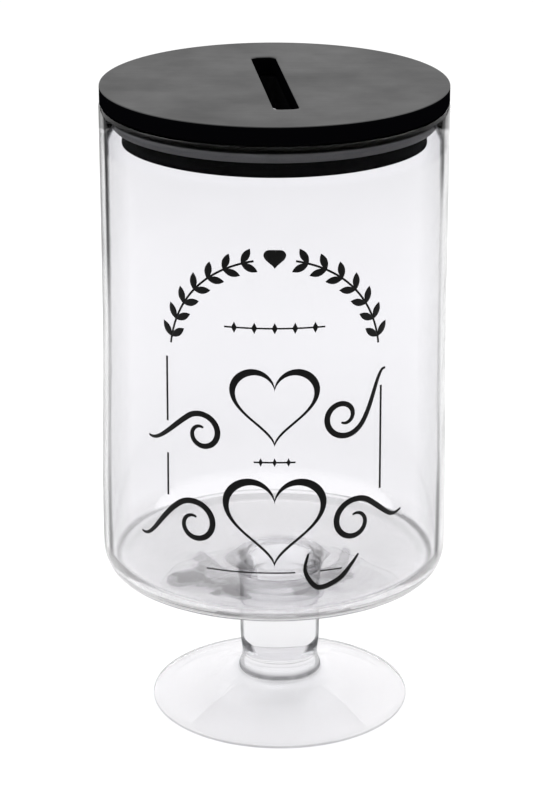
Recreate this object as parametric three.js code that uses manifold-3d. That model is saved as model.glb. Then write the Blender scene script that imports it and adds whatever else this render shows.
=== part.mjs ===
// A pedestal glass jar with a slotted wooden lid, used as a savings bank.
// Millimetres, +Z up. The origin is the centre of the foot's underside, on the surface it stands on.
// The decorated front of the glass faces -Y.
import * as THREE from 'three';
import { mergeVertices } from 'three/addons/utils/BufferGeometryUtils.js';
import Module from 'manifold-3d';

const wasm = await Module();
wasm.setup();

// ---- Driving dimensions ----
const TOTAL_HEIGHT = 280;
const CLEARANCE = 0.3;

const LID_RADIUS = 72.9;
const LID_THICKNESS = 7.6;
const LID_TOP_CHAMFER = 0.5;
const LID_LOWER_ROUND = 0.9;
const LID_TURN = THREE.MathUtils.degToRad(6.2);

const PLUG_RADIUS = 64.7;
const PLUG_DEPTH = 15.1;
const PLUG_EDGE = 0.8;
const GROOVE_DEPTH = 3.7;
const GROOVE_TOP = 3.3;
const GROOVE_HEIGHT = 5.4;

const SLOT_LENGTH = 90;
const SLOT_WIDTH = 10.5;
const SLOT_CORNER = 3;

const WALL_RADIUS = 73.2;
const WALL_THICKNESS = 2.9;
const SWELL = 1.5;
const SWELL_TOP_Z = 192;
const SWELL_BASE_Z = 86;
const RIM_ROUND = 1.4;

const BOWL_BASE_Z = 67;
const FLOOR_THICKNESS = 3.4;
const CORNER_WIDTH = 4.6;
const CORNER_HEIGHT = 9;
const PAD_RADIUS = 34;
const PAD_DEPTH = 2.6;

const STEM_RADIUS = 17.5;
const STEM_WAIST = 16.6;
const STEM_WAIST_Z = 20;
const STEM_BEAD_RADIUS = 18.1;
const STEM_TOP_FLARE = 3;

const FOOT_RADIUS = 56.5;
const FOOT_RIM_THICKNESS = 2.6;
const FOOT_CENTRE_Z = 13;
const FOOT_SHELL = 3;
const FOOT_RING_OUTER = 55.4;
const FOOT_RING_INNER = 53;

const INK_THICKNESS = 0.4;
const RULE_WIDTH = 0.6;

const BIG_SEGMENTS = 48;
const STEM_SEGMENTS = 36;

// ---- Heights that follow from them ----
const LID_UNDERSIDE_Z = TOTAL_HEIGHT - LID_THICKNESS;
const RIM_Z = LID_UNDERSIDE_Z - CLEARANCE;
const FLOOR_Z = BOWL_BASE_Z + FLOOR_THICKNESS;
const PAD_Z = BOWL_BASE_Z - PAD_DEPTH;

// ---- Materials ----
function material(color, roughness, metalness = 0) {
  return new THREE.MeshStandardMaterial({ color, roughness, metalness });
}

function glassMaterial() {
  const glass = material('#e6ebea', 0.05);
  glass.transparent = true;
  glass.opacity = 0.35;
  return glass;
}

// ---- Helpers ----
function namedMesh(name, geometry, surface) {
  const mesh = new THREE.Mesh(geometry, surface);
  mesh.name = name;
  return mesh;
}

// Turns a profile of [radius, height] points about the Z axis.
function turned(profile, segments) {
  const points = profile.map(([radius, height]) => new THREE.Vector2(radius, height));
  const geometry = new THREE.LatheGeometry(points, segments);
  geometry.rotateX(Math.PI / 2);
  return geometry;
}

// A quarter-ellipse from angle start to angle end, in degrees, as profile points.
function arc(centreRadius, centreHeight, width, height, start, end, steps) {
  return Array.from({ length: steps + 1 }, (_, i) => {
    const angle = THREE.MathUtils.degToRad(start + (end - start) * i / steps);
    return [centreRadius + width * Math.cos(angle), centreHeight + height * Math.sin(angle)];
  });
}

function toSolid(geometry) {
  const bare = geometry.clone();
  bare.deleteAttribute('normal');
  bare.deleteAttribute('uv');
  const merged = mergeVertices(bare, 1e-4);
  return new wasm.Manifold(new wasm.Mesh({
    numProp: 3,
    vertProperties: new Float32Array(merged.attributes.position.array),
    triVerts: new Uint32Array(merged.index.array),
  }));
}

function toGeometry(solid) {
  const mesh = solid.getMesh();
  const geometry = new THREE.BufferGeometry();
  geometry.setAttribute('position', new THREE.BufferAttribute(mesh.vertProperties, 3));
  geometry.setIndex(new THREE.BufferAttribute(mesh.triVerts, 1));
  geometry.computeVertexNormals();
  return geometry;
}

// ---- Glass ----
// Outer radius of the glass wall: straight above, with a gentle swell towards the base.
function wallRadius(z) {
  const down = THREE.MathUtils.smoothstep(SWELL_TOP_Z - z, 0, SWELL_TOP_Z - SWELL_BASE_Z);
  return WALL_RADIUS + SWELL * down;
}

function wallProfile(offset, fromZ, toZ, steps) {
  return Array.from({ length: steps + 1 }, (_, i) => {
    const z = fromZ + (toZ - fromZ) * i / steps;
    return [wallRadius(z) + offset, z];
  });
}

function glassBowl() {
  const cornerTopZ = BOWL_BASE_Z + CORNER_HEIGHT;
  const cornerCentre = wallRadius(cornerTopZ) - CORNER_WIDTH;
  const innerCornerHeight = CORNER_HEIGHT - 1;
  const innerCornerCentre = cornerCentre - WALL_THICKNESS;
  const rimCentre = WALL_RADIUS - WALL_THICKNESS / 2;
  const profile = [
    [0, PAD_Z],
    [PAD_RADIUS - 6, PAD_Z],
    [PAD_RADIUS, BOWL_BASE_Z - 0.6],
    [PAD_RADIUS + 8, BOWL_BASE_Z],
    ...arc(cornerCentre, cornerTopZ, CORNER_WIDTH, CORNER_HEIGHT, -90, 0, 5),
    ...wallProfile(0, SWELL_BASE_Z + 4, SWELL_TOP_Z, 6),
    ...arc(rimCentre, RIM_Z - RIM_ROUND, WALL_THICKNESS / 2, RIM_ROUND, 0, 180, 4),
    ...wallProfile(-WALL_THICKNESS, SWELL_TOP_Z, SWELL_BASE_Z + 4, 6),
    ...arc(innerCornerCentre, FLOOR_Z + innerCornerHeight, CORNER_WIDTH, innerCornerHeight, 0, -90, 4),
    [0, FLOOR_Z],
  ];
  return namedMesh('glass_bowl', turned(profile, BIG_SEGMENTS), glassMaterial());
}

function glassStem() {
  const topZ = PAD_Z - CLEARANCE;
  const baseZ = FOOT_CENTRE_Z + CLEARANCE;
  const profile = [
    [0, baseZ],
    [STEM_BEAD_RADIUS - 0.6, baseZ],
    [STEM_BEAD_RADIUS, baseZ + 1],
    [STEM_BEAD_RADIUS - 0.6, baseZ + 2.8],
    [STEM_WAIST + 0.4, STEM_WAIST_Z - 2.4],
    [STEM_WAIST, STEM_WAIST_Z],
    [STEM_RADIUS - 0.2, STEM_WAIST_Z + 6],
    [STEM_RADIUS, STEM_WAIST_Z + 12],
    [STEM_RADIUS, topZ - 12],
    [STEM_RADIUS + 0.3 * STEM_TOP_FLARE, topZ - 5],
    [STEM_RADIUS + STEM_TOP_FLARE, topZ - 1.2],
    [STEM_RADIUS + STEM_TOP_FLARE - 0.4, topZ],
    [0, topZ],
  ];
  return namedMesh('glass_stem', turned(profile, STEM_SEGMENTS), glassMaterial());
}

// The foot's upper face climbs from the thin rim to the stem in a shallow hollow curve.
function footTop(radius) {
  const inward = (FOOT_RADIUS - radius) / (FOOT_RADIUS - STEM_BEAD_RADIUS);
  return FOOT_RIM_THICKNESS + (FOOT_CENTRE_Z - FOOT_RIM_THICKNESS) * inward ** 1.15;
}

function glassFoot() {
  const edge = FOOT_RIM_THICKNESS / 2;
  const radii = [23, 28, 34, 40, 46];
  const profile = [
    [0, FOOT_CENTRE_Z - FOOT_SHELL],
    [STEM_BEAD_RADIUS, FOOT_CENTRE_Z - FOOT_SHELL],
    ...radii.map((radius) => [radius, footTop(radius) - FOOT_SHELL]),
    [FOOT_RING_INNER, 0],
    [FOOT_RING_OUTER, 0],
    ...arc(FOOT_RADIUS - edge, edge, edge, edge, -50, 60, 4),
    [52, footTop(52)],
    ...radii.toReversed().map((radius) => [radius, footTop(radius)]),
    [STEM_BEAD_RADIUS, FOOT_CENTRE_Z],
    [0, FOOT_CENTRE_Z],
  ];
  return namedMesh('glass_foot', turned(profile, BIG_SEGMENTS), glassMaterial());
}

// ---- Lid ----
function roundedSlot() {
  const halfWidth = SLOT_WIDTH / 2;
  const halfLength = SLOT_LENGTH / 2;
  const outline = new THREE.Shape();
  outline.absarc(halfWidth - SLOT_CORNER, halfLength - SLOT_CORNER, SLOT_CORNER, 0, Math.PI / 2);
  outline.absarc(SLOT_CORNER - halfWidth, halfLength - SLOT_CORNER, SLOT_CORNER, Math.PI / 2, Math.PI);
  outline.absarc(SLOT_CORNER - halfWidth, SLOT_CORNER - halfLength, SLOT_CORNER, Math.PI, 1.5 * Math.PI);
  outline.absarc(halfWidth - SLOT_CORNER, SLOT_CORNER - halfLength, SLOT_CORNER, 1.5 * Math.PI, 2 * Math.PI);
  const depth = LID_THICKNESS + PLUG_DEPTH + 8;
  const cutter = new THREE.ExtrudeGeometry(outline, { depth, bevelEnabled: false, curveSegments: 5 });
  cutter.translate(0, 0, TOTAL_HEIGHT + 4 - depth);
  return toSolid(cutter);
}

function lidTop(slot) {
  const profile = [
    [0, LID_UNDERSIDE_Z],
    [LID_RADIUS - LID_LOWER_ROUND, LID_UNDERSIDE_Z],
    ...arc(LID_RADIUS - LID_LOWER_ROUND, LID_UNDERSIDE_Z + LID_LOWER_ROUND,
      LID_LOWER_ROUND, LID_LOWER_ROUND, -60, 0, 2),
    [LID_RADIUS, TOTAL_HEIGHT - LID_TOP_CHAMFER],
    [LID_RADIUS - LID_TOP_CHAMFER, TOTAL_HEIGHT],
    [0, TOTAL_HEIGHT],
  ];
  const disc = toSolid(turned(profile, BIG_SEGMENTS));
  return namedMesh('lid_top', toGeometry(disc.subtract(slot)), material('#2b2b2c', 0.45));
}

// The plug is the smaller disc under the lid, with a groove that carries the seal.
function lidPlug(slot) {
  const topZ = LID_UNDERSIDE_Z - CLEARANCE;
  const baseZ = LID_UNDERSIDE_Z - PLUG_DEPTH;
  const grooveTopZ = LID_UNDERSIDE_Z - GROOVE_TOP;
  const grooveBaseZ = grooveTopZ - GROOVE_HEIGHT;
  const profile = [
    [0, baseZ],
    [PLUG_RADIUS - PLUG_EDGE, baseZ],
    [PLUG_RADIUS, baseZ + PLUG_EDGE],
    [PLUG_RADIUS, grooveBaseZ],
    [PLUG_RADIUS - GROOVE_DEPTH, grooveBaseZ],
    [PLUG_RADIUS - GROOVE_DEPTH, grooveTopZ],
    [PLUG_RADIUS, grooveTopZ],
    [PLUG_RADIUS, topZ],
    [0, topZ],
  ];
  const disc = toSolid(turned(profile, BIG_SEGMENTS));
  return namedMesh('lid_plug', toGeometry(disc.subtract(slot)), material('#1d1d1e', 0.55));
}

// The seal fills the groove and flares out to just short of the glass.
function sealRing() {
  const topZ = LID_UNDERSIDE_Z - GROOVE_TOP - CLEARANCE;
  const baseZ = topZ - GROOVE_HEIGHT + 2 * CLEARANCE;
  const innerRadius = PLUG_RADIUS - GROOVE_DEPTH + CLEARANCE;
  const lipRadius = WALL_RADIUS - WALL_THICKNESS - CLEARANCE;
  const bodyRadius = PLUG_RADIUS + 0.6;
  const profile = [
    [innerRadius, baseZ],
    [bodyRadius, baseZ],
    [lipRadius - 0.8, baseZ + 1],
    [lipRadius, baseZ + 1.8],
    [lipRadius, topZ - 1.4],
    [lipRadius - 0.8, topZ - 0.6],
    [bodyRadius, topZ],
    [innerRadius, topZ],
    [innerRadius, baseZ],
  ];
  return namedMesh('seal_ring', turned(profile, BIG_SEGMENTS), material('#5d5f60', 0.6));
}

function lid() {
  const slot = roundedSlot();
  const group = new THREE.Group();
  group.rotation.z = LID_TURN;
  group.add(lidTop(slot), lidPlug(slot));
  return group;
}

// ---- Printed artwork ----
// Each motif is drawn flat, with x along the glass from the front centre line and y as the height
// above the foot, and is then wrapped round the glass.
function wrapped(geometry) {
  const flat = geometry.attributes.position;
  for (let i = 0; i < flat.count; i += 1) {
    const innerRadius = wallRadius(flat.getY(i)) + CLEARANCE;
    const angle = flat.getX(i) / innerRadius;
    const radius = innerRadius + flat.getZ(i);
    flat.setXYZ(i, radius * Math.sin(angle), -radius * Math.cos(angle), flat.getY(i));
  }
  return geometry;
}

function inkPrint(name, geometry) {
  return namedMesh(name, wrapped(geometry), material('#141414', 0.5));
}

// A flat strip of ink between two edges with the same number of points, left and right of its run.
function strip(left, right, closed = false) {
  const positions = left.flatMap((point, i) => [
    point.x, point.y, 0,
    right[i].x, right[i].y, 0,
    point.x, point.y, INK_THICKNESS,
    right[i].x, right[i].y, INK_THICKNESS,
  ]);
  const faces = [];
  const quad = (a, b, c, d) => faces.push(a, b, c, a, c, d);
  const pieces = closed ? left.length : left.length - 1;
  for (let i = 0; i < pieces; i += 1) {
    const here = 4 * i;
    const next = 4 * ((i + 1) % left.length);
    quad(here + 3, next + 3, next + 2, here + 2);
    quad(here, next, next + 1, here + 1);
    quad(here, here + 2, next + 2, next);
    quad(here + 1, next + 1, next + 3, here + 3);
  }
  if (!closed) {
    const end = 4 * pieces;
    quad(0, 1, 3, 2);
    quad(end + 1, end, end + 2, end + 3);
  }
  const geometry = new THREE.BufferGeometry();
  geometry.setAttribute('position', new THREE.Float32BufferAttribute(positions, 3));
  geometry.setIndex(faces);
  return geometry;
}

// A brush stroke along a path: half its width at each point is given by the function halfWidth(t).
function stroke(path, halfWidth) {
  const last = path.length - 1;
  const edges = path.map((point, i) => {
    const ahead = path[Math.min(i + 1, last)];
    const behind = path[Math.max(i - 1, 0)];
    const along = ahead.clone().sub(behind).normalize();
    const across = new THREE.Vector2(-along.y, along.x).multiplyScalar(halfWidth(i / last));
    return [point.clone().add(across), point.clone().sub(across)];
  });
  return strip(edges.map(([left]) => left), edges.map(([, right]) => right));
}

function line(from, to, steps) {
  return new THREE.LineCurve(new THREE.Vector2(...from), new THREE.Vector2(...to)).getSpacedPoints(steps);
}

function rule(name, from, to, steps) {
  return inkPrint(name, stroke(line(from, to, steps), () => RULE_WIDTH / 2));
}

// A heart outline of the given width, with its middle at [x, y].
function heartPath(x, y, width, steps) {
  const scale = width / 32;
  return Array.from({ length: steps }, (_, i) => {
    const t = 2 * Math.PI * i / steps;
    const side = 16 * Math.sin(t) ** 3;
    const rise = 13 * Math.cos(t) - 5 * Math.cos(2 * t) - 2 * Math.cos(3 * t) - Math.cos(4 * t);
    return new THREE.Vector2(x + scale * side, y + scale * (rise + 2.5));
  });
}

function heartRing(x, y, width, thickness) {
  const steps = 36;
  const outer = heartPath(x, y, width, steps);
  const inner = heartPath(x, y - 0.2 * thickness, width - 2 * thickness, steps);
  return strip(outer, inner, true);
}

function solidHeart(x, y, width) {
  const outline = new THREE.Shape(heartPath(x, y, width, 24));
  return new THREE.ExtrudeGeometry(outline, { depth: INK_THICKNESS, bevelEnabled: false });
}

// A scroll: a curl of just over one turn, then a sweep outwards to its tail. The centre and the tail
// are given for the right side with the sweep falling; side -1 mirrors it left, rise -1 turns it up.
function scroll(name, { side, rise = 1, centre, curlRadius, tail, pull, halfWidth }) {
  const curlSteps = 18;
  const startAngle = 0.6 * Math.PI;
  const turn = 2.35 * Math.PI;
  const curl = Array.from({ length: curlSteps + 1 }, (_, i) => {
    const part = i / curlSteps;
    const radius = curlRadius * (0.28 + 0.72 * part);
    return new THREE.Vector2(radius, 0).rotateAround(new THREE.Vector2(), startAngle - turn * part);
  });
  const end = curl[curlSteps];
  const leaving = end.clone().sub(curl[curlSteps - 1]).setLength(pull);
  const target = new THREE.Vector2(...tail);
  const arriving = new THREE.Vector2(-0.5 * pull, -0.25 * pull);
  const sweep = new THREE.CubicBezierCurve(end, leaving.add(end), arriving.add(target), target);
  const path = [...curl, ...sweep.getPoints(12).slice(1)].map((point) => (
    new THREE.Vector2(side * (centre[0] + point.x), centre[1] + rise * point.y)));
  const inOrder = side * rise > 0 ? path : path.reverse();
  return inkPrint(name, stroke(inOrder, (t) => 0.4 + halfWidth * Math.sin(Math.PI * t) ** 0.7));
}

function swash(name, points, halfWidth) {
  const curve = new THREE.SplineCurve(points.map(([x, y]) => new THREE.Vector2(x, y)));
  return inkPrint(name, stroke(curve.getSpacedPoints(20), (t) => 0.4 + halfWidth * Math.sin(Math.PI * t)));
}

function leaf(x, y, length, angle) {
  const tip = new THREE.Vector2(length, 0);
  const outline = new THREE.Shape();
  outline.moveTo(0, 0);
  outline.quadraticCurveTo(0.45 * length, 0.42 * length, tip.x, tip.y);
  outline.quadraticCurveTo(0.45 * length, -0.42 * length, 0, 0);
  const turnedPoints = outline.getPoints(4).slice(0, -1).map((point) => (
    point.rotateAround(new THREE.Vector2(), angle).add(new THREE.Vector2(x, y))));
  const shape = new THREE.Shape(turnedPoints);
  return new THREE.ExtrudeGeometry(shape, { depth: INK_THICKNESS, bevelEnabled: false });
}

// Half of the garland over the artwork, on an arch of the given radius.
function garland(name, side) {
  const archRadius = 45;
  const archZ = 181;
  const footAngle = 0.04 * Math.PI;
  const topAngle = 0.44 * Math.PI;
  const leafPairs = 7;
  const at = (angle) => (
    new THREE.Vector2(side * archRadius * Math.cos(angle), archZ + archRadius * Math.sin(angle)));
  const path = Array.from({ length: 17 }, (_, i) => at(footAngle + (topAngle - footAngle) * i / 16));
  const pieces = [stroke(path, () => 0.45)];
  for (let pair = 0; pair < leafPairs; pair += 1) {
    const angle = footAngle + (topAngle - footAngle) * (pair + 0.35) / leafPairs;
    const root = at(angle);
    const forward = side > 0 ? angle + Math.PI / 2 : Math.PI / 2 - angle;
    pieces.push(leaf(root.x, root.y, 7.4, forward + 0.75), leaf(root.x, root.y, 7.4, forward - 0.75));
  }
  return inkPrint(name, toGeometry(pieces.map(toSolid).reduce((whole, piece) => whole.add(piece))));
}

// A thin level line with diamonds strung along it.
function beadedLine(name, z, halfLength, diamonds, size) {
  const steps = 8 * diamonds;
  const path = line([-halfLength, z], [halfLength, z], steps);
  const widths = path.map((point, i) => (i % 8 === 4 ? size : 0.35));
  return inkPrint(name, stroke(path, (t) => widths[Math.round(t * steps)]));
}

function artwork() {
  const group = new THREE.Group();
  group.add(
    garland('print_garland_left', -1),
    garland('print_garland_right', 1),
    inkPrint('print_garland_heart', solidHeart(0, 226, 9)),
    beadedLine('print_row', 197, 20.5, 5, 2.4),
    inkPrint('print_heart_upper', heartRing(0, 163, 37, 2.4)),
    scroll('print_scroll_upper_left', {
      side: -1, centre: [30.5, 150], curlRadius: 9, tail: [26.5, -6], pull: 10, halfWidth: 0.85,
    }),
    scroll('print_scroll_upper_right', {
      side: 1, rise: -1, centre: [28.5, 157.5], curlRadius: 9, tail: [20, -17.5], pull: 9, halfWidth: 0.85,
    }),
    beadedLine('print_divider', 139.6, 8.5, 3, 1.9),
    inkPrint('print_heart_lower', heartRing(0, 113, 43, 2.6)),
    scroll('print_scroll_lower_left', {
      side: -1, centre: [34, 110], curlRadius: 10.5, tail: [28, -10], pull: 12, halfWidth: 0.9,
    }),
    scroll('print_scroll_lower_right', {
      side: 1, centre: [34, 111], curlRadius: 10.5, tail: [24, 0], pull: 12, halfWidth: 0.9,
    }),
    swash('print_swash_base', [[14, 99], [12.8, 91], [18, 83.5], [27, 86], [32.5, 91.5], [36, 96]], 0.8),
    rule('print_rule_left_upper', [-46.8, 152.5], [-46.8, 180.5], 4),
    rule('print_rule_left_lower', [-46.8, 120], [-46.8, 138.5], 3),
    rule('print_rule_right', [46.3, 123], [46.3, 168], 7),
    rule('print_base_left', [-28.6, 90.8], [8.6, 90.8], 9),
    rule('print_base_right', [19, 90.8], [28.4, 90.8], 3),
  );
  return group;
}

const jar = new THREE.Group();
jar.add(glassFoot(), glassStem(), glassBowl(), artwork(), sealRing(), lid());

export default jar;
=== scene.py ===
"""Looks of a pedestal glass savings jar with a slotted black lid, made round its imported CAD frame.

Every size is in metres. The jar stands on z = 0 and its decorated front faces -Y.
"""
import math

import bpy
from mathutils import Matrix, Vector, noise


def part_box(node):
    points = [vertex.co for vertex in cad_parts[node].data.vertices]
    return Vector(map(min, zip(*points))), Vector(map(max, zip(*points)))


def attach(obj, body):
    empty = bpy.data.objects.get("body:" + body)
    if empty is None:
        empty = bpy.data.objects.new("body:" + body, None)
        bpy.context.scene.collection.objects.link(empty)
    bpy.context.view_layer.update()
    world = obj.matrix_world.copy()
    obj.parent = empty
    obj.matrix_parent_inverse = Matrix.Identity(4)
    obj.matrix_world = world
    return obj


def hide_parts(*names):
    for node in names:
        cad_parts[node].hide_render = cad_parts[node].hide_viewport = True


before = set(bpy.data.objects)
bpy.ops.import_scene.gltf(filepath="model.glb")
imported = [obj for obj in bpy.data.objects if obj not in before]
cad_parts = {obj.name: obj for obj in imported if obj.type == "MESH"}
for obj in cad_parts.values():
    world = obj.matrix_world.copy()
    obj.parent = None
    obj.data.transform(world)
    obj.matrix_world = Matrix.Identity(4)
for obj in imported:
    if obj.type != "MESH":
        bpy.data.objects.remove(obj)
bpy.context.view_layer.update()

# ---- Sizes read from the frame ----
BOWL_LOW, BOWL_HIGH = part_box("glass_bowl")
FOOT_LOW, FOOT_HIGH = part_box("glass_foot")
LID_LOW, LID_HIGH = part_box("lid_top")
PLUG_LOW, PLUG_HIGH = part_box("lid_plug")
SEAL_LOW, SEAL_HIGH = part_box("seal_ring")
TABLE = FOOT_LOW[2]
FOOT_RADIUS = FOOT_HIGH[0]
JAR_HEIGHT = LID_HIGH[2]

# ---- Sizes that match the CAD source ----
LID_RADIUS = 0.0729
LID_TURN = math.radians(6.2)
SLOT_LENGTH = 0.090
SLOT_WIDTH = 0.0105
SLOT_CORNER = 0.003

PLUG_RADIUS = 0.0647
GROOVE_DEPTH = 0.0037
SEAL_GAP = 0.0003  # room between the seal and its groove

WALL_RADIUS = 0.0732
WALL_THICKNESS = 0.0029
SWELL = 0.0015  # how much wider the wall is low down
SWELL_TOP = 0.192
SWELL_BASE = 0.086
CORNER_WIDTH = 0.0046
CORNER_HEIGHT = 0.009
FLOOR_THICKNESS = 0.0034
PAD_DEPTH = 0.0026  # how far the pad on top of the stem hangs below the bowl's base
BOWL_BASE = BOWL_LOW[2] + PAD_DEPTH

# ---- Sizes of the looks alone ----
# The wall's inner faces are all nearer the axis than this, and its outer faces further.
INNER_FACE_LIMIT = 0.0725
FOOT_RIM = 0.0016
SLOT_EDGE = 0.0006  # rounding of the slot's lips
STEM_SHIFT = 0.0026  # how far the stem and foot sit to the right of the bowl's axis
STEM_TOP = 0.0615  # above this the shift fades out

INK_LIFT = 0.00003
INK_THICKNESS = 0.00009
RULE_HALF_WIDTH = 0.0003
STROKE_TIP = 0.0004  # half width of a brush stroke at its ends

ROUND = 240  # points round a turned piece


# ---- Mesh helpers ----
def make_object(name, points, faces, body, material):
    mesh = bpy.data.meshes.new(name)
    mesh.from_pydata(points, [], faces)
    mesh.polygons.foreach_set("use_smooth", [True] * len(mesh.polygons))
    mesh.update()
    piece = bpy.data.objects.new(name, mesh)
    bpy.context.scene.collection.objects.link(piece)
    mesh.materials.append(material)
    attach(piece, body)
    return piece


def bridged(loops, closed):
    """Faces between loops of equal length that follow each other; closed joins the last to the first."""
    count = len(loops[0])
    faces = []
    for row in range(len(loops) if closed else len(loops) - 1):
        here = row * count
        there = ((row + 1) % len(loops)) * count
        for k in range(count):
            following = (k + 1) % count
            faces.append((here + k, here + following, there + following, there + k))
    return faces


def circle(radius, height, count=ROUND):
    step = 2 * math.pi / count
    return [Vector((radius * math.cos(k * step), radius * math.sin(k * step), height))
            for k in range(count)]


def turned(name, profile, body, material, wobble=None):
    """Turns a profile about Z. One that starts on the axis also ends there; any other closes on itself."""
    on_axis = profile[0][0] == 0
    rings = profile[1:-1] if on_axis else profile
    loops = [circle(radius, height) for radius, height in rings]
    points = [point + wobble(point) if wobble else point for loop in loops for point in loop]
    faces = bridged(loops, closed=not on_axis)
    if on_axis:
        first_centre = len(points)
        last_ring = len(points) - ROUND
        points += [Vector((0, 0, profile[0][1])), Vector((0, 0, profile[-1][1]))]
        sides = [(k, (k + 1) % ROUND) for k in range(ROUND)]
        faces += [(first_centre, following, k) for k, following in sides]
        faces += [(first_centre + 1, last_ring + k, last_ring + following) for k, following in sides]
    return make_object(name, points, faces, body, material)


def arc(centre, size, start, end, steps):
    """Points on an ellipse from start to end, in degrees."""
    angles = [math.radians(start + (end - start) * i / steps) for i in range(steps + 1)]
    return [(centre[0] + size[0] * math.cos(a), centre[1] + size[1] * math.sin(a)) for a in angles]


def through(keys, steps):
    """A smooth run of points through the key points, with the given steps between each two."""
    padded = [keys[0], *keys, keys[-1]]
    run = [keys[0]]
    for a, b, c, d in zip(padded, padded[1:], padded[2:], padded[3:]):
        for i in range(1, steps + 1):
            t = i / steps
            run.append(tuple(
                0.5 * (2 * q + (r - p) * t + (2 * p - 5 * q + 4 * r - s) * t * t
                       + (3 * q - p - 3 * r + s) * t ** 3)
                for p, q, r, s in zip(a, b, c, d)))
    return run


# ---- Shader helpers ----
# A "term" is a socket or a plain value.
def new_material(name):
    material = bpy.data.materials.new(name)
    material.use_nodes = True
    tree = material.node_tree
    return material, tree, tree.nodes["Principled BSDF"]


def feed(tree, socket, term):
    if isinstance(term, bpy.types.NodeSocket):
        tree.links.new(term, socket)
    else:
        socket.default_value = term


def coordinates(tree, kind="Object"):
    """Where the point is on its piece, or with "Normal" which way it faces."""
    return tree.nodes.new("ShaderNodeTexCoord").outputs[kind]


def axis(tree, name, kind="Object"):
    parts = tree.nodes.new("ShaderNodeSeparateXYZ")
    tree.links.new(coordinates(tree, kind), parts.inputs["Vector"])
    return parts.outputs[name]


def vector_maths(tree, operation, *terms):
    node = tree.nodes.new("ShaderNodeVectorMath")
    node.operation = operation
    for socket, term in zip(node.inputs, terms):
        feed(tree, socket, term)
    return node.outputs


def maths(tree, operation, *terms):
    """The result of a sum on terms, kept between 0 and 1 for products."""
    node = tree.nodes.new("ShaderNodeMath")
    node.operation = operation
    node.use_clamp = operation == "MULTIPLY"
    for socket, term in zip(node.inputs, terms):
        feed(tree, socket, term)
    return node.outputs["Value"]


def product(tree, *terms):
    total = terms[0]
    for term in terms[1:]:
        total = maths(tree, "MULTIPLY", total, term)
    return total


def largest(tree, *terms):
    most = terms[0]
    for term in terms[1:]:
        most = maths(tree, "MAXIMUM", most, term)
    return most


def rest(tree, term):
    return maths(tree, "SUBTRACT", 1.0, term)


def rising(tree, term, start, width):
    """0 below start, then up to 1 over the given width; start may be a socket."""
    return product(tree, maths(tree, "SUBTRACT", term, start), 1 / width)


def distance_from_axis(tree):
    level = vector_maths(tree, "MULTIPLY", coordinates(tree), (1, 1, 0))["Vector"]
    return vector_maths(tree, "LENGTH", level)["Value"]


def share_of_height(tree):
    """Height above the table as a share of the jar's height."""
    return maths(tree, "DIVIDE", axis(tree, "Z"), JAR_HEIGHT)


def noise_texture(tree, scale, detail, source):
    texture = tree.nodes.new("ShaderNodeTexNoise")
    texture.inputs["Scale"].default_value = scale
    texture.inputs["Detail"].default_value = detail
    tree.links.new(source, texture.inputs["Vector"])
    return texture.outputs


def object_noise(tree, scale, detail, stretch=None):
    """Noise in object coordinates; stretch squeezes it along each axis."""
    source = coordinates(tree)
    if stretch:
        mapping = tree.nodes.new("ShaderNodeMapping")
        mapping.inputs["Scale"].default_value = stretch
        tree.links.new(source, mapping.inputs["Vector"])
        source = mapping.outputs["Vector"]
    return noise_texture(tree, scale, detail, source)["Fac"]


def ramp(tree, factor, *stops):
    """A colour that blends from stop to stop as the factor rises; each stop is a factor and a colour."""
    node = tree.nodes.new("ShaderNodeValToRGB")
    elements = node.color_ramp.elements
    for _ in stops[2:]:
        elements.new(0.5)
    for element, (place, colour) in zip(elements, stops):
        element.position = place
        element.color = (*colour, 1)
    tree.links.new(factor, node.inputs["Fac"])
    return node.outputs["Color"]


def mottled(tree, cloud, dark, pale):
    """A colour between two that follows a noise over its usual span."""
    return ramp(tree, cloud, (0.3, dark), (0.7, pale))


def spread(tree, factor, low, high):
    """The span from 0.3 to 0.7, where noise mostly lies, spread from low to high."""
    node = tree.nodes.new("ShaderNodeMapRange")
    node.inputs["From Min"].default_value = 0.3
    node.inputs["From Max"].default_value = 0.7
    node.inputs["To Min"].default_value = low
    node.inputs["To Max"].default_value = high
    tree.links.new(factor, node.inputs["Value"])
    return node.outputs["Result"]


def blended(tree, factor, first, second):
    """A colour between two colour terms."""
    node = tree.nodes.new("ShaderNodeMix")
    node.data_type = "RGBA"
    for place, term in ((0, factor), (6, first), (7, second)):  # the places of a colour mix's own sockets
        feed(tree, node.inputs[place], term)
    return node.outputs[2]


def bump(tree, shader, height, strength, distance):
    node = tree.nodes.new("ShaderNodeBump")
    node.inputs["Strength"].default_value = strength
    node.inputs["Distance"].default_value = distance
    tree.links.new(height, node.inputs["Height"])
    tree.links.new(node.outputs["Normal"], shader.inputs["Normal"])


def mixed_shaders(tree, factor, first, second):
    node = tree.nodes.new("ShaderNodeMixShader")
    for socket, term in zip(node.inputs, (factor, first, second)):
        feed(tree, socket, term)
    return node.outputs["Shader"]


# ---- Glass material ----
GLASS_IOR = 1.5

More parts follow.
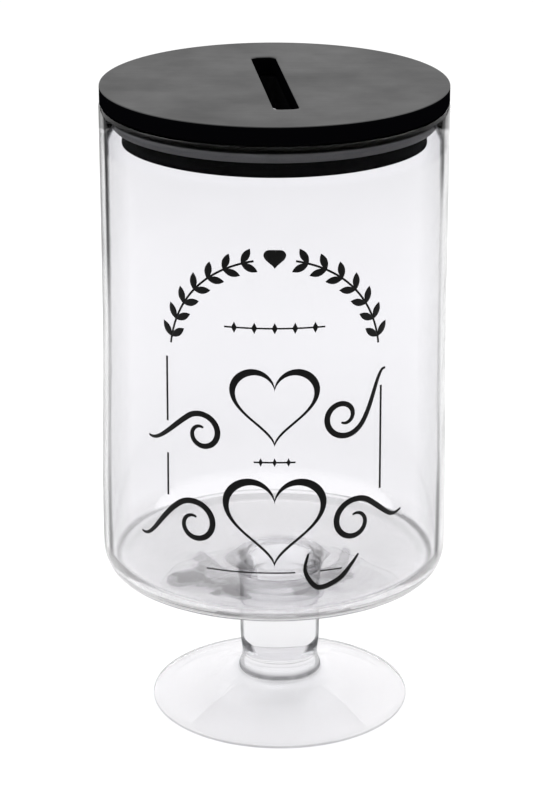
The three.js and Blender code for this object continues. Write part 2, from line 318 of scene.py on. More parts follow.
# Tones up the jar: each pair is a height above the table and the value there.
# The glass's faint tint, with painted shade: it is made darker or lighter with height to stand in for how
# bright the surroundings seen through it are.
TINT_AND_SHADE = ((0.0, 0.90), (0.012, 0.90), (0.0135, 0.78), (0.022, 0.78), (0.03, 0.81), (0.06, 0.83),
        (0.066, 0.96), (0.074, 0.96), (0.080, 0.86), (0.095, 0.83), (0.13, 0.85), (0.20, 0.875),
        (0.235, 0.85), (0.262, 0.83))
BASE_ROUGHNESS = ((0.062, 0.0), (0.064, 0.015), (0.071, 0.015), (0.074, 0.0))
# From here to RIGHT_LINE, the ramps set where and how strongly painted dark lines, patches and shade are
# drawn on the glass: painted shade standing in for dark surroundings seen in it.
EDGE_START = ((0.0158, 0.3), (0.0185, 0.6), (0.0236, 0.6), (0.0248, 0.34), (0.0285, 0.34),
              (0.0298, 0.60), (0.0600, 0.60), (0.0630, 0.5), (0.0688, 0.5), (0.0694, 0.84))
EDGE_STRENGTH = ((0.0130, 0.0), (0.0138, 0.4), (0.0236, 0.4), (0.0248, 0.95), (0.0285, 0.95),
                 (0.0298, 0.75), (0.0600, 0.65), (0.0630, 0.6), (0.0688, 0.6), (0.0694, 0.1),
                 (0.0712, 0.1), (0.0900, 0.4))
COLLAR = ((0.0130, 0.0), (0.0138, 0.8), (0.0156, 0.7), (0.0168, 0.0))
HEM = ((0.0660, 0.0), (0.0690, 0.9), (0.0710, 0.9), (0.0722, 0.0))
FOOT_LINE = ((0.0018, 0.42), (0.0030, 0.0))
PATCH_STRENGTH = ((0.0655, 0.0), (0.0665, 0.85), (0.0702, 0.85), (0.0708, 0.0))
WALL_SHADE = ((0.078, 0.0), (0.090, 0.22))
LEFT_LINE = ((0.0740, 0.0), (0.0800, 0.55), (0.1050, 0.45), (0.1250, 0.32), (0.1700, 0.32),
             (0.1900, 0.42), (0.2150, 0.80), (0.2500, 0.95))
RIGHT_LINE = ((0.0740, 0.0), (0.0800, 0.60), (0.1050, 0.50), (0.1250, 0.28), (0.2200, 0.20),
              (0.2350, 0.30), (0.2500, 0.75))
NECK = ((0.2545, 0.0), (0.2570, 0.95), (0.2704, 0.95), (0.2714, 0.0))
THIN_FOOT = ((0.0116, 0.75), (0.0128, 0.0))
THIN_BASE = ((0.062, 0.0), (0.064, 0.45), (0.074, 0.45), (0.080, 0.0))

# Painted shade: dark patches under the bowl, as x, y and radius, and the span over which noise moves their
# outlines.
SHADE_PATCHES = ((-0.036, -0.029, 0.0075), (-0.018, -0.044, 0.0080), (-0.028, -0.037, 0.0045),
           (0.022, -0.027, 0.0085), (0.014, -0.041, 0.0050))
PATCH_RAGGED = 0.022


def straight_through(tree, *colour):
    node = tree.nodes.new("ShaderNodeBsdfTransparent")
    node.inputs["Color"].default_value = (*colour, 1)
    return node.outputs["BSDF"]


def without_mirroring(tree, *colour):
    """Glass that bends the light that passes and mirrors none."""
    node = tree.nodes.new("ShaderNodeBsdfRefraction")
    node.inputs["Color"].default_value = (*colour, 1)
    node.inputs["IOR"].default_value = GLASS_IOR
    node.inputs["Roughness"].default_value = 0.0
    return node.outputs["BSDF"]


class GlassPoint:
    """What the glass material knows of a point on the glass, as sockets.

    facing goes from 0 where the surface is seen square on to 1 where it is seen edge on. from_glass is 1
    where the eye's ray meets the surface from within the glass.
    """

    def __init__(self, tree):
        self.tree = tree
        self.reach = distance_from_axis(tree)
        self.share = share_of_height(tree)
        self.across = axis(tree, "X")
        view = tree.nodes.new("ShaderNodeLayerWeight")
        view.inputs["Blend"].default_value = 0.5
        self.facing = view.outputs["Facing"]
        self.inside = maths(tree, "LESS_THAN", self.reach, INNER_FACE_LIMIT)
        steepness = maths(tree, "ABSOLUTE", axis(tree, "Z", "Normal"))
        self.level = rising(tree, steepness, 0.5, 0.3)
        self.from_glass = tree.nodes.new("ShaderNodeNewGeometry").outputs["Backfacing"]
        self.from_air = rest(tree, self.from_glass)
        # A noise that makes the painted dark lines uneven in strength.
        self.unevenness = spread(tree, object_noise(tree, 190, 3), 0.75, 1.0)

    def up_jar(self, tones):
        """A nearly grey colour that changes with height."""
        stops = [(height / JAR_HEIGHT, (tone, tone * 0.997, tone * 1.015)) for height, tone in tones]
        return ramp(self.tree, self.share, *stops)

    def edge_on(self, start, width):
        return rising(self.tree, self.facing, start, width)

    def band(self, low, high, width):
        """1 where facing lies between low and high, with soft ends."""
        return product(self.tree, self.edge_on(low, width), rest(self.tree, self.edge_on(high, width)))


def shade_patch_pattern(tree):
    """1 inside the ragged patches of painted shade under the bowl, 0 elsewhere."""
    ragged = noise_texture(tree, 95, 2.0, coordinates(tree))["Color"]
    spot = vector_maths(tree, "MULTIPLY_ADD", ragged, (PATCH_RAGGED, PATCH_RAGGED, 0),
                        coordinates(tree))["Vector"]
    middle = PATCH_RAGGED / 2
    patches = []
    for x, y, size in SHADE_PATCHES:
        away = vector_maths(tree, "DISTANCE", spot, (x + middle, y + middle, BOWL_BASE))["Value"]
        patches.append(rest(tree, rising(tree, away, size, 0.0012)))
    return largest(tree, *patches)


def painted_edge_lines(point):
    """Painted shade: dark edges of all that is seen edge on, strongest on the stem, and a dark collar at its
    foot.
    """
    tree = point.tree
    start = point.up_jar(EDGE_START)
    edge = product(tree, point.edge_on(start, 0.1), point.up_jar(EDGE_STRENGTH), point.unevenness)
    collar = product(tree, point.up_jar(COLLAR), point.unevenness, point.from_air)
    return largest(tree, edge, collar)


def painted_base_lines(point):
    """Painted shade: a dark line round the bowl's bottom corner, stronger on the right, and dark patches
    under the bowl.
    """
    tree = point.tree
    to_right = maths(tree, "ADD", 0.6, product(tree, rising(tree, point.across, 0.015, 0.02), 0.4))
    corner = rising(tree, point.reach, 0.0665, 0.002)
    hem = product(tree, point.edge_on(0.30, 0.1), corner, point.up_jar(HEM), point.from_air, to_right)
    patch_shade = product(tree, shade_patch_pattern(tree), point.up_jar(PATCH_STRENGTH))
    return largest(tree, hem, patch_shade)


# Painted shade: a dark line round the foot's rim, where its faces are not level.
def painted_foot_line(point):
    return product(point.tree, point.up_jar(FOOT_LINE), point.unevenness, rest(point.tree, point.level))


def painted_dark_lines(point):
    """Where the glass is painted dark, from 0 to 1: painted shade standing in for dark surroundings seen in
    it.

    From within the glass, the wall mirrors fully beyond a facing of about 0.255. A narrow band there draws
    the line of its inner face, and a band on the outer faces draws theirs.
    """
    tree = point.tree
    right = rising(tree, point.across, -0.01, 0.02)
    left_tone = point.up_jar(LEFT_LINE)
    depth = blended(tree, right, left_tone, point.up_jar(RIGHT_LINE))
    inner_band = product(tree, point.band(0.242, 0.258, 0.008), depth, point.from_glass)
    outer_band = product(tree, point.band(0.70, 0.75, 0.03), depth, 0.85)
    outer_left = product(tree, point.edge_on(0.82, 0.06), left_tone, rest(tree, right), 0.6)
    shade = product(tree, point.edge_on(0.19, 0.06), point.up_jar(WALL_SHADE), point.from_glass)
    inner = largest(tree, painted_edge_lines(point), painted_base_lines(point), painted_foot_line(point), inner_band, shade)
    outer = largest(tree, outer_band, outer_left)
    return largest(tree, product(tree, inner, point.inside),
                   product(tree, outer, rest(tree, point.inside)))


def neck_share(point):
    """How much of the neck is drawn without mirroring: all but what is seen at a slant, which starts sooner
    on the inner faces."""
    tree = point.tree
    limit = maths(tree, "SUBTRACT", 0.70, product(tree, point.inside, 0.46))
    return product(tree, point.up_jar(NECK), rest(tree, point.edge_on(limit, 0.04)))


def thin_share(point):
    """How much of the foot and the bowl's base is looked straight through."""
    tree = point.tree
    foot = product(tree, point.up_jar(THIN_FOOT), point.level)
    at_corner = product(tree, rising(tree, point.reach, 0.063, 0.003), 0.4)
    return largest(tree, foot, product(tree, point.up_jar(THIN_BASE), rest(tree, at_corner)))


def glass_material():
    """Clear glass with painted dark lines where it is seen edge on, painted shade standing in for dark
    surroundings seen in it, and a tint painted darker or lighter with height.

    The neck hardly mirrors, the foot and the bowl's base are in part looked straight through, and shadow
    rays pass with a slight loss.
    """
    material, tree, shader = new_material("clear_glass")
    shader.inputs["Transmission Weight"].default_value = 1.0
    shader.inputs["IOR"].default_value = GLASS_IOR
    shader.inputs["Specular Tint"].default_value = (0.2, 0.2, 0.2, 1)
    point = GlassPoint(tree)
    # Painted shade: the tint darkens and lightens with height.
    tree.links.new(point.up_jar(TINT_AND_SHADE), shader.inputs["Base Color"])
    tree.links.new(point.up_jar(BASE_ROUGHNESS), shader.inputs["Roughness"])
    bump(tree, shader, object_noise(tree, 26, 2), 0.15, 0.001)
    surface = shader.outputs["BSDF"]
    shadow_ray = tree.nodes.new("ShaderNodeLightPath").outputs["Is Shadow Ray"]
    for share, other in (
            (neck_share(point), without_mirroring(tree, 0.93, 0.93, 0.94)),
            # Painted shade: the dark lines are a nearly black glass that mirrors nothing.
            (painted_dark_lines(point), without_mirroring(tree, 0.04, 0.04, 0.045)),
            (thin_share(point), straight_through(tree, 0.984, 0.979, 0.982)),
            (shadow_ray, straight_through(tree, 0.95, 0.955, 0.96))):
        surface = mixed_shaders(tree, share, surface, other)
    tree.links.new(surface, tree.nodes["Material Output"].inputs["Surface"])
    return material


# ---- Other materials ----
def paint_material():
    """Black paint with faint grain, satin and mottled on the lid's top face. Painted shade: the lid's side
    is a blacker black than the plug below it, and no face but the top has any sheen.
    """
    material, tree, shader = new_material("black_paint")
    share = share_of_height(tree)
    upward = spread(tree, axis(tree, "Z", "Normal"), 0.0, 1.0)
    on_top = product(tree, upward, rising(tree, share, 0.995, 0.003))
    mottle = object_noise(tree, 38, 5)
    satin = mottled(tree, mottle, (0.003, 0.003, 0.0033), (0.006, 0.006, 0.0063))
    above_plug = rising(tree, share, LID_LOW[2] / JAR_HEIGHT - 0.004, 0.002)
    # Painted shade: the lid's side is given a blacker black than the plug.
    plug_black_and_side_shade = blended(tree, above_plug, (0.0055, 0.0053, 0.0060, 1), (0.0012, 0.0012, 0.0016, 1))
    tree.links.new(blended(tree, on_top, plug_black_and_side_shade, satin), shader.inputs["Base Color"])
    # Painted shade: every face but the top is given no sheen.
    tree.links.new(product(tree, on_top, 0.5), shader.inputs["Specular IOR Level"])
    tree.links.new(spread(tree, mottle, 0.36, 0.5), shader.inputs["Roughness"])
    bump(tree, shader, object_noise(tree, 30, 6, stretch=(1, 14, 14)), 0.12, 0.0004)
    return material


def silicone_material():
    """Grey silicone; where it faces up, under the lid, it is painted near black and nearly without shine, as
    painted shade.
    """
    material, tree, shader = new_material("grey_silicone")
    upward = rising(tree, axis(tree, "Z", "Normal"), 0.5, 0.3)
    cloud = object_noise(tree, 60, 3)
    grey = mottled(tree, cloud, (0.088, 0.088, 0.090), (0.112, 0.112, 0.115))
    shine = maths(tree, "SUBTRACT", 0.5, product(tree, upward, 0.45))
    # Painted shade: the upward faces are near black with little sheen.
    tree.links.new(blended(tree, upward, grey, (0.006, 0.006, 0.006, 1)), shader.inputs["Base Color"])
    tree.links.new(shine, shader.inputs["Specular IOR Level"])
    tree.links.new(spread(tree, cloud, 0.5, 0.65), shader.inputs["Roughness"])
    bump(tree, shader, object_noise(tree, 900, 2), 0.2, 0.0001)
    return material


def ink_material():
    material, tree, shader = new_material("black_ink")
    cloud = object_noise(tree, 180, 4)
    black = mottled(tree, cloud, (0.003, 0.003, 0.003), (0.006, 0.006, 0.006))
    tree.links.new(black, shader.inputs["Base Color"])
    tree.links.new(spread(tree, cloud, 0.4, 0.55), shader.inputs["Roughness"])
    shader.inputs["Specular Tint"].default_value = (0.1, 0.1, 0.1, 1)
    bump(tree, shader, object_noise(tree, 1500, 2), 0.15, 0.00005)
    return material


def floor_material():
    material, tree, shader = new_material("pale_floor")
    pale = mottled(tree, object_noise(tree, 6, 3), (0.93, 0.93, 0.93), (0.95, 0.95, 0.95))
    tree.links.new(pale, shader.inputs["Base Color"])
    shader.inputs["Roughness"].default_value = 0.8
    shader.inputs["Specular IOR Level"].default_value = 0.1
    return material


# ---- Glass ----
def kept_between(value, low, high):
    return min(max(value, low), high)


def eased(value, start, width):
    """0 up to start, then smoothly up to 1 over the given width."""
    t = kept_between((value - start) / width, 0, 1)
    return t * t * (3 - 2 * t)


def wall_radius(height):
    return WALL_RADIUS + SWELL * eased(SWELL_TOP - height, 0, SWELL_TOP - SWELL_BASE)


def hand_made(point):
    """How far the glass is off its true turned shape.

    Its wall and floor are uneven, and the stem and foot sit a little to the right of the bowl's axis.
    """
    radius = math.hypot(point.x, point.y)
    aside = STEM_SHIFT * (1 - eased(point.z, STEM_TOP, 0.004))
    if radius == 0:
        return Vector((aside, 0, 0))
    slow = noise.noise(point * 22)
    quick = noise.noise(point * 75 + Vector((7, 3, 1)))
    outward = 0.00016 * slow * kept_between(point.z / 0.03, 0, 1)
    near_floor = math.exp(-((point.z - BOWL_BASE) / 0.009) ** 2) * min(radius / 0.012, 1)
    on_floor = 1 if radius < 0.066 else 0.25
    lift = near_floor * (0.0004 * quick + 0.0002 * slow) * on_floor
    return Vector((aside + outward * point.x / radius, outward * point.y / radius, lift))


def wall_run(offset, start, end, steps):
    heights = [start + (end - start) * i / steps for i in range(steps + 1)]
    return [(wall_radius(z) + offset, z) for z in heights]


def foot_profile():
    """From the axis out under the foot, round its rim and up its top."""
    rim = FOOT_RIM / 2
    underside = through([
        (0.003, 0.0100), (0.012, 0.0099), (0.018, 0.0095), (0.023, 0.0085), (0.028, 0.0069),
        (0.034, 0.0053), (0.040, 0.0035), (0.046, 0.0019), (0.0515, 0.0002)], 6)
    top = through([
        (FOOT_RADIUS - rim, FOOT_RIM), (0.050, 0.0036), (0.040, 0.0065), (0.030, 0.0094),
        (0.0225, 0.0117), (0.0188, 0.0128)], 10)
    return [
        (0, 0.0100),
        *underside,
        (0.0530, TABLE),
        (0.0548, TABLE),
        *arc((FOOT_RADIUS - rim, rim), (rim, rim), -80, 70, 10),
        *top,
    ]


def stem_profile():
    """From the bead at its foot up the stem and out along its flared top to the bowl's base."""
    pad = BOWL_LOW[2]
    return through([
        (0.0179, 0.0132), (0.0181, 0.0143), (0.0177, 0.0158), (0.0169, 0.0180), (0.0166, 0.0206),
        (0.0169, 0.0240), (0.0173, 0.0275), (0.0175, 0.0330), (0.0175, 0.0480), (0.0176, 0.0560),
        (0.0181, 0.0605), (0.0196, 0.0630), (0.0230, pad), (0.0290, pad + 0.0002),
        (0.0340, BOWL_BASE - 0.0008), (0.0400, BOWL_BASE)], 8)


def floor_run(radius, height, rise, steps):
    """In along the bowl's floor, which rises a little, to the axis."""
    run = [(radius * (1 - i / steps), height + rise * math.sin(math.pi * i / (2 * steps)) ** 2)
           for i in range(1, steps)]
    return [*run, (0, height + rise)]


def bowl_profile():
    """Round the bottom corner, up the wall, over the rim, down inside and in to the axis."""
    corner_top = BOWL_BASE + CORNER_HEIGHT
    corner_centre = wall_radius(corner_top) - CORNER_WIDTH
    inner_centre = corner_centre - WALL_THICKNESS
    inner_height = CORNER_HEIGHT - 0.001
    floor = BOWL_BASE + FLOOR_THICKNESS
    rim = BOWL_HIGH[2]
    rim_round = 0.0014
    half_wall = WALL_THICKNESS / 2
    lower = (SWELL_BASE - 0.004, SWELL_TOP)
    upper = (SWELL_TOP + 0.01, rim - 0.01)
    return [
        *arc((corner_centre, corner_top), (CORNER_WIDTH, CORNER_HEIGHT), -90, 0, 18),
        *wall_run(0, *lower, 24),
        *wall_run(0, *upper, 8),
        *arc((WALL_RADIUS - half_wall, rim - rim_round), (half_wall, rim_round), 0, 180, 12),
        *wall_run(-WALL_THICKNESS, *upper[::-1], 8),
        *wall_run(-WALL_THICKNESS, *lower[::-1], 24),
        *arc((inner_centre, floor + inner_height), (CORNER_WIDTH, inner_height), 0, -90, 16),
        *floor_run(inner_centre, floor, 0.0008, 24),
    ]


def make_glass(material):
    profile = [*foot_profile(), *stem_profile(), *bowl_profile()]
    jar = turned("jar_glass", profile, "jar", material, hand_made)
    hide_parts("glass_bowl", "glass_stem", "glass_foot")


# ---- Lid ----
def slot_loop(height, grow=0.0):
    """The slot's rounded outline, starting mid-way along its right side, made larger by grow."""
    half_width = SLOT_WIDTH / 2 + grow
    half_length = SLOT_LENGTH / 2 + grow
    corner = SLOT_CORNER + grow
    side = half_length - corner
    end = half_width - corner
    quarter = math.pi * corner / 2
    runs = [side, quarter, 2 * end, quarter, 2 * side, quarter, 2 * end, quarter, side]
    total = sum(runs)
    corners = [(end, side), (-end, side), (-end, -side), (end, -side)]
    outline = []
    for k in range(ROUND):
        left = total * k / ROUND
        part = 0
        while left > runs[part]:
            left -= runs[part]
            part += 1
        if part % 2:
            which = part // 2
            angle = (which + left / quarter) * math.pi / 2
            x = corners[which][0] + corner * math.cos(angle)
            y = corners[which][1] + corner * math.sin(angle)
        elif part in (0, 8):
            x = half_width
            y = left if part == 0 else left - side
        elif part == 4:
            x = -half_width
            y = side - left
        else:
            x = end - left if part == 2 else left - end
            y = half_length if part == 2 else -half_length
        outline.append(Vector((x, y, height)))
    return outline


def mixed_loops(first, second, steps):
    return [[a.lerp(b, i / steps) for a, b in zip(first, second)] for i in range(1, steps)]


def slotted_disc(name, outline, material, node):
    """A disc of the given outline, bottom to top, with the slot through it."""
    bottom = outline[0][1]
    top = outline[-1][1]
    outer = [circle(radius, height) for radius, height in outline]
    lip = [i * math.pi / 8 for i in range(5)]
    turns = [(SLOT_EDGE * (1 - math.cos(a)), SLOT_EDGE * (1 - math.sin(a))) for a in lip]
    upper = [slot_loop(top - down, out) for down, out in turns]
    lower = [slot_loop(bottom + up, out) for out, up in turns]
    loops = [
        *outer,
        *mixed_loops(outer[-1], upper[0], 10),
        *upper,
        *mixed_loops(upper[-1], lower[0], 4),
        *lower,
        *mixed_loops(lower[-1], outer[0], 10),
    ]
    spin = Matrix.Rotation(LID_TURN, 3, "Z")
    points = [spin @ point for loop in loops for point in loop]
    piece = make_object(name, points, bridged(loops, closed=True), "lid", material)
    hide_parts(node)


def make_lid(material):
    crisp = 0.0005
    soft = 0.0009
    bottom = LID_LOW[2]
    top = LID_HIGH[2]
    outline = [
        (LID_RADIUS - soft - 0.0005, bottom),
        *arc((LID_RADIUS - soft, bottom + soft), (soft, soft), -90, 0, 8),
        (LID_RADIUS, bottom + 0.0014),
        (LID_RADIUS, top - crisp - 0.0004),
        *arc((LID_RADIUS - crisp, top - crisp), (crisp, crisp), 0, 90, 6),
        (LID_RADIUS - crisp - 0.0004, top),
    ]
    slotted_disc("lid_disc", outline, material, "lid_top")


def make_plug(material):
    edge = 0.0006
    small = 0.0002
    chamfer = 0.0003
    lip = 0.001
    bottom = PLUG_LOW[2]
    top = PLUG_HIGH[2]
    groove_low = SEAL_LOW[2] - SEAL_GAP
    groove_high = SEAL_HIGH[2] + SEAL_GAP
    groove_radius = PLUG_RADIUS - GROOVE_DEPTH
    outline = [
        (PLUG_RADIUS - edge - 0.0004, bottom),
        *arc((PLUG_RADIUS - edge, bottom + edge), (edge, edge), -90, 0, 6),
        *arc((PLUG_RADIUS - small, groove_low - small), (small, small), 0, 90, 3),
        (PLUG_RADIUS - lip, groove_low),
        (groove_radius + chamfer, groove_low),
        (groove_radius, groove_low + chamfer),
        (groove_radius, groove_high - chamfer),
        (groove_radius + chamfer, groove_high),
        (PLUG_RADIUS - lip, groove_high),
        *arc((PLUG_RADIUS - small, groove_high + small), (small, small), -90, 0, 3),
        (PLUG_RADIUS, top - small),
        (PLUG_RADIUS - small, top),
    ]
    slotted_disc("lid_plug_disc", outline, material, "lid_plug")


def make_seal(material):
    """A ring with a flat back in the groove and one broad lip towards the glass, fullest near its top."""
    low = SEAL_LOW[2]
    high = SEAL_HIGH[2]
    inner = PLUG_RADIUS - GROOVE_DEPTH + SEAL_GAP
    bevel = 0.0004
    lip = SEAL_HIGH[0]
    face = through([
        (lip - 0.0026, low + 0.0001), (lip - 0.0016, low + 0.0006), (lip - 0.0008, low + 0.0017),
        (lip - 0.0002, high - 0.0020), (lip, high - 0.0010), (lip - 0.0004, high - 0.0003),
        (lip - 0.0012, high)], 6)
    profile = [
        (inner, high - bevel),
        (inner, low + bevel),
        (inner + bevel, low),
        *face,
        (inner + bevel, high),
    ]
    ring = turned("seal_lip", profile, "seal", material)
    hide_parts("seal_ring")


# ---- Printed artwork ----
# Motifs are drawn flat, as distance along the glass from the front centre line and height, and each is
# fitted to the flat size of its CAD node before it is wrapped round the glass.
def on_glass(across, height, lift):
    radius = wall_radius(height)
    angle = across / radius
    point = Vector((radius * math.sin(angle), -radius * math.cos(angle), height))
    point += hand_made(point)
    outward = Vector((point.x, point.y, 0)).normalized()
    return point + outward * lift


def flat_box(node):
    """The node's lowest and highest distance along the glass and height, as two corners."""
    low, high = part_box(node)
    radius = wall_radius((low[2] + high[2]) / 2) + 0.0005
    return [(radius * math.asin(low[0] / radius), low[2]), (radius * math.asin(high[0] / radius), high[2])]


def ink_sheet(strips):
    """Points and faces of thin ink between each strip's left and right edges."""
    across = 4
    points = []
    faces = []
    for left, right, lift in strips:
        start = len(points)
        for a, b in zip(left, right):
            for level in (lift, lift + INK_THICKNESS):
                for i in range(across + 1):
                    t = i / across
                    spot = [a[k] + (b[k] - a[k]) * t for k in (0, 1)]
                    points.append(on_glass(*spot, level))
        row = 2 * (across + 1)
        for k in range(len(left) - 1):
            here = start + k * row
            there = here + row
            for i in range(across):
                top = across + 1 + i
                faces.append((here + top, here + top + 1, there + top + 1, there + top))
                faces.append((here + i, there + i, there + i + 1, here + i + 1))
            faces.append((here, here + across + 1, there + across + 1, there))
            faces.append((here + across, there + across, there + row - 1, here + row - 1))
        for end, flip in ((start, False), (start + (len(left) - 1) * row, True)):
            for i in range(across):
                face = (end + i, end + i + 1, end + across + 2 + i, end + across + 1 + i)
                faces.append(face[::-1] if flip else face)
    return points, faces


def fitted(strips, node):
    """Moves and scales strips so that together they fill the node's flat box."""
    spots = [spot for left, right, _ in strips for spot in (*left, *right)]
    low = [min(spot[i] for spot in spots) for i in (0, 1)]
    high = [max(spot[i] for spot in spots) for i in (0, 1)]
    goal_low, goal_high = flat_box(node)

    def moved(spot):
        return tuple(
            goal_low[i] + (goal_high[i] - goal_low[i]) * (spot[i] - low[i]) / (high[i] - low[i])
            for i in (0, 1))
    return [([moved(s) for s in left], [moved(s) for s in right], lift) for left, right, lift in strips]


def print_ink(node, strips, material):
    points, faces = ink_sheet(fitted(strips, node))
    piece = make_object(node.replace("print", "ink"), points, faces, "jar", material)
    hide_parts(node)


def stroke(path, half_width, lift=INK_LIFT):
    """A brush stroke along a path, as one strip; half_width(t) is half its width along it."""
    last = len(path) - 1
    left = []
    right = []
    for i, (x, y) in enumerate(path):
        ahead = path[min(i + 1, last)]
        behind = path[max(i - 1, 0)]
        dx = ahead[0] - behind[0]
        dy = ahead[1] - behind[1]
        reach = half_width(i / last) / math.hypot(dx, dy)
        left.append((x - dy * reach, y + dx * reach))
        right.append((x + dy * reach, y - dx * reach))
    return left, right, lift


def level_line(length, steps):
    return [(length * i / steps, 0.0) for i in range(steps + 1)]


def rule_strips(node):
    """A thin rule along the node's long way."""
    low, high = flat_box(node)
    wide, tall = (high[i] - low[i] for i in (0, 1))
    path = level_line(wide, 60)
    if tall > wide:
        path = [(0.0, x) for x, _ in level_line(tall, 60)]
    return [stroke(path, lambda t: RULE_HALF_WIDTH)]


def heart_points(width, count):
    """A heart from its notch round to its notch again; the plain curve is 32 wide."""
    scale = width / 32
    angles = [2 * math.pi * i / count for i in range(count + 1)]
    return [
        (scale * 16 * math.sin(t) ** 3,
         scale * (13 * math.cos(t) - 5 * math.cos(2 * t) - 2 * math.cos(3 * t) - math.cos(4 * t) + 2.5))
        for t in angles]


def heart_outline(width, thickness):
    """A heart's rim, a little thicker at the top than at its point."""
    outer = heart_points(width, 144)
    inner = [(x, y - 0.2 * thickness) for x, y in heart_points(width - 2 * thickness, 144)]
    return [(outer, inner, INK_LIFT)]


def heart_filled(width):
    rim = heart_points(width, 96)
    return [(rim[1:48], rim[95:48:-1], INK_LIFT)]


def scroll(side, rise, centre, curl_radius, tail, pull, half_width):
    """A curl of just over one turn, then a sweep to its tail; side and rise mirror it."""
    turn = 2.35 * math.pi
    tight = 0.28  # the curl's first radius as a share of its last
    curl_steps = 90
    sweep_steps = 50
    curl = []
    for i in range(curl_steps + 1):
        part = i / curl_steps
        angle = 0.6 * math.pi - turn * part
        radius = curl_radius * (tight + (1 - tight) * part)
        curl.append(Vector((radius * math.cos(angle), radius * math.sin(angle))))
    start = curl[-1]
    leaving = start + (curl[-1] - curl[-2]).normalized() * pull
    target = Vector(tail)
    arriving = target + Vector((-0.5 * pull, -0.25 * pull))
    for i in range(1, sweep_steps + 1):
        t = i / sweep_steps
        s = 1 - t
        curl.append(s ** 3 * start + 3 * s * s * t * leaving + 3 * s * t * t * arriving + t ** 3 * target)
    path = [(side * (centre[0] + p.x), centre[1] + rise * p.y) for p in curl]
    if side * rise < 0:
        path.reverse()
    return [stroke(path, lambda t: STROKE_TIP + half_width * max(math.sin(math.pi * t), 0) ** 0.7)]


def swash():
    keys = [(0.014, 0.099), (0.0128, 0.091), (0.018, 0.0835), (0.027, 0.086), (0.0325, 0.0915),
            (0.036, 0.096)]
    return [stroke(through(keys, 16), lambda t: STROKE_TIP + 0.0008 * math.sin(math.pi * t))]


def leaf_strip(root, length, angle, lift):
    """A pointed leaf from its root; its two edges bow out on either side."""
    steps = 16
    left = []
    right = []
    for i in range(steps + 1):
        t = i / steps
        along = length * t
        half = 0.84 * length * t * (1 - t)
        for edge, offset in ((left, half), (right, -half)):
            edge.append((root[0] + along * math.cos(angle) - offset * math.sin(angle),
                         root[1] + along * math.sin(angle) + offset * math.cos(angle)))
    return left, right, lift


def garland(side):
    """A bowed twig with pairs of leaves; side mirrors it."""
    radius = 0.045
    centre_height = 0.181
    foot = 0.04 * math.pi
    top = 0.44 * math.pi
    pairs = 7
    leaf_length = 0.0074
    leaf_angle = 0.75

    def at(angle):
        return side * radius * math.cos(angle), centre_height + radius * math.sin(angle)
    twig = [at(foot + (top - foot) * i / 80) for i in range(81)]
    strips = [stroke(twig, lambda t: 0.00045)]
    for pair in range(pairs):
        angle = foot + (top - foot) * (pair + 0.35) / pairs
        forward = angle + math.pi / 2 if side > 0 else math.pi / 2 - angle
        for layer, turn in enumerate((leaf_angle, -leaf_angle), start=1):
            lift = INK_LIFT + 0.00001 * layer
            strips.append(leaf_strip(at(angle), leaf_length, forward + turn, lift))
    return strips


def beaded_line(half_length, diamonds, size):
    """A thin line with evenly spaced diamonds on it."""
    path = level_line(2 * half_length, 64 * diamonds)
    thin = 0.00035

    def half_width(t):
        along = (t * diamonds) % 1
        peak = 1 - abs(along - 0.5) * 8
        return max(thin, thin + (size - thin) * peak)
    return [stroke(path, half_width)]


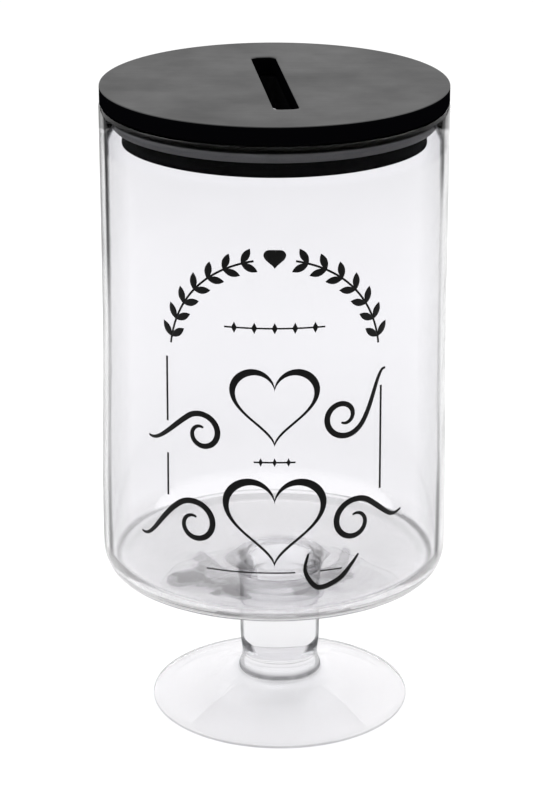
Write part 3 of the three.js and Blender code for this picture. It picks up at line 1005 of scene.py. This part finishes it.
def make_artwork(ink):
    upper = {"curl_radius": 0.009, "half_width": 0.00085}
    upper_left = scroll(-1, 1, (0.0305, 0.150), tail=(0.0265, -0.006), pull=0.010, **upper)
    upper_right = scroll(1, -1, (0.0285, 0.1575), tail=(0.020, -0.0175), pull=0.009, **upper)
    lower = {"curl_radius": 0.0105, "half_width": 0.0009, "pull": 0.012}
    motifs = {
        "print_garland_left": garland(-1),
        "print_garland_right": garland(1),
        "print_garland_heart": heart_filled(0.009),
        "print_row": beaded_line(0.0205, 5, 0.0024),
        "print_heart_upper": heart_outline(0.037, 0.0024),
        "print_scroll_upper_left": upper_left,
        "print_scroll_upper_right": upper_right,
        "print_divider": beaded_line(0.0085, 3, 0.0019),
        "print_heart_lower": heart_outline(0.043, 0.0026),
        "print_scroll_lower_left": scroll(-1, 1, (0.034, 0.110), tail=(0.028, -0.010), **lower),
        "print_scroll_lower_right": scroll(1, 1, (0.034, 0.111), tail=(0.024, 0.0), **lower),
        "print_swash_base": swash(),
    }
    for node in ("rule_left_upper", "rule_left_lower", "rule_right", "base_left", "base_right"):
        motifs["print_" + node] = rule_strips("print_" + node)
    for node, strips in motifs.items():
        print_ink(node, strips, ink)


# ---- Studio ----
def make_floor(material):
    radius = 6.0
    drop = 0.0003  # keeps the floor clear of the jar's foot
    corners = 96
    mesh = bpy.data.meshes.new("floor")
    mesh.from_pydata(circle(radius, -drop, corners), [], [tuple(range(corners))])
    floor = bpy.data.objects.new("floor", mesh)
    bpy.context.scene.collection.objects.link(floor)
    mesh.materials.append(material)


def area_light(name, place, target, size, power):
    data = bpy.data.lights.new(name, "AREA")
    data.shape = "RECTANGLE"
    data.size, data.size_y = size
    data.energy = power
    lamp = bpy.data.objects.new(name, data)
    lamp.location = place
    lamp.rotation_euler = (Vector(target) - Vector(place)).to_track_quat("-Z", "Y").to_euler()
    bpy.context.scene.collection.objects.link(lamp)


def make_studio():
    world = bpy.data.worlds.new("studio")
    world.use_nodes = True
    background = world.node_tree.nodes["Background"]
    background.inputs["Color"].default_value = (1, 1, 1, 1)
    background.inputs["Strength"].default_value = 0.95
    bpy.context.scene.world = world
    area_light("key", (0.9, 0.3, 1.5), (0, 0, 0.12), (0.9, 0.9), 9)
    area_light("fill", (-1.0, 0.1, 1.2), (0, 0, 0.12), (0.9, 0.9), 5)
    bpy.context.scene.view_settings.view_transform = "Standard"


def make_camera():
    """Looks down on the front from a little over a metre away."""
    data = bpy.data.cameras.new("camera")
    data.lens = 127.07
    data.sensor_width = 36
    data.clip_end = 20
    camera = bpy.data.objects.new("camera", data)
    camera.location = (-0.0031, -1.1374, 0.5610)
    camera.rotation_euler = (math.radians(90 - 20.287), 0, 0)
    bpy.context.scene.collection.objects.link(camera)
    bpy.context.scene.camera = camera


make_camera()
make_studio()
make_floor(floor_material())
make_glass(glass_material())
black_paint = paint_material()
make_lid(black_paint)
make_plug(black_paint)
make_seal(silicone_material())
make_artwork(ink_material())
